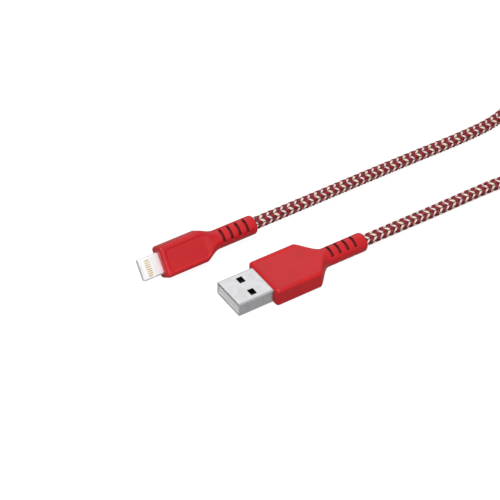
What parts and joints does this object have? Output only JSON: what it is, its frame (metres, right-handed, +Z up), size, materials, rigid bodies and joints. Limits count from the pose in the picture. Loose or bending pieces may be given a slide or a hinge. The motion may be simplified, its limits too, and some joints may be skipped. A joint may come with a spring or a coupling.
{
  "type": "charging cable",
  "caption": "Braided charging cable: a flat four-contact plug and a blade plug on moulded red grips with slotted strain reliefs, spare cord coiled and tied.",
  "frame": {"origin": "middle of the flat underside of the four-contact plug's grip, where it rests", "axes": "+X from the plugs towards the cord, so a plug enters its socket along -X; +Y across to the blade plug; +Z up"},
  "size_m": [0.1868, 0.0588, 0.0105],
  "materials": {
    "shell_metal": "nickel-plated steel sheet, satin",
    "insulator": "moulded insulator",
    "contact_metal": "gold-plated contacts",
    "grip": "soft-touch red elastomer, satin",
    "inner_plastic": "hard inner mould",
    "can_metal": "thin tinned steel",
    "board": "printed circuit board",
    "chip": "moulded chip package",
    "capacitor": "ceramic chips",
    "wire_red": "core insulation",
    "wire_white": "core insulation",
    "wire_green": "core insulation",
    "wire_black": "core insulation",
    "braid": "braided yarn, dark red with cream and pale pink",
    "tie": "hook-and-loop strap"
  },
  "bodies": {
    "root": {"usb_shell": "shell_metal", "blade_frame": "shell_metal", "usb_tongue": "insulator", "blade_insert": "insulator", "usb_contact_power": "contact_metal", "usb_contact_data_minus": "contact_metal", "usb_contact_data_plus": "contact_metal", "usb_contact_ground": "contact_metal", "blade_pads_upper": "contact_metal", "blade_pads_lower": "contact_metal", "usb_grip": "grip", "blade_grip": "grip", "usb_inner_mould": "inner_plastic", "blade_inner_mould": "inner_plastic", "usb_can_upper": "can_metal", "usb_can_lower": "can_metal", "blade_can_upper": "can_metal", "blade_can_lower": "can_metal", "usb_crimp_ring": "can_metal", "blade_crimp_ring": "can_metal", "blade_board": "board", "blade_chip": "chip", "blade_capacitors": "capacitor", "usb_wire_power": "wire_red", "usb_wire_data_minus": "wire_white", "usb_wire_data_plus": "wire_green", "usb_wire_ground": "wire_black", "blade_wire_power": "wire_red", "blade_wire_data_minus": "wire_white", "blade_wire_data_plus": "wire_green", "blade_wire_ground": "wire_black", "usb_cord_end": "braid", "blade_cord_end": "braid", "cord_usb_run": "braid", "cord_coil": "braid", "cord_blade_run": "braid", "cord_tie": "tie"}
  },
  "joints": []
}
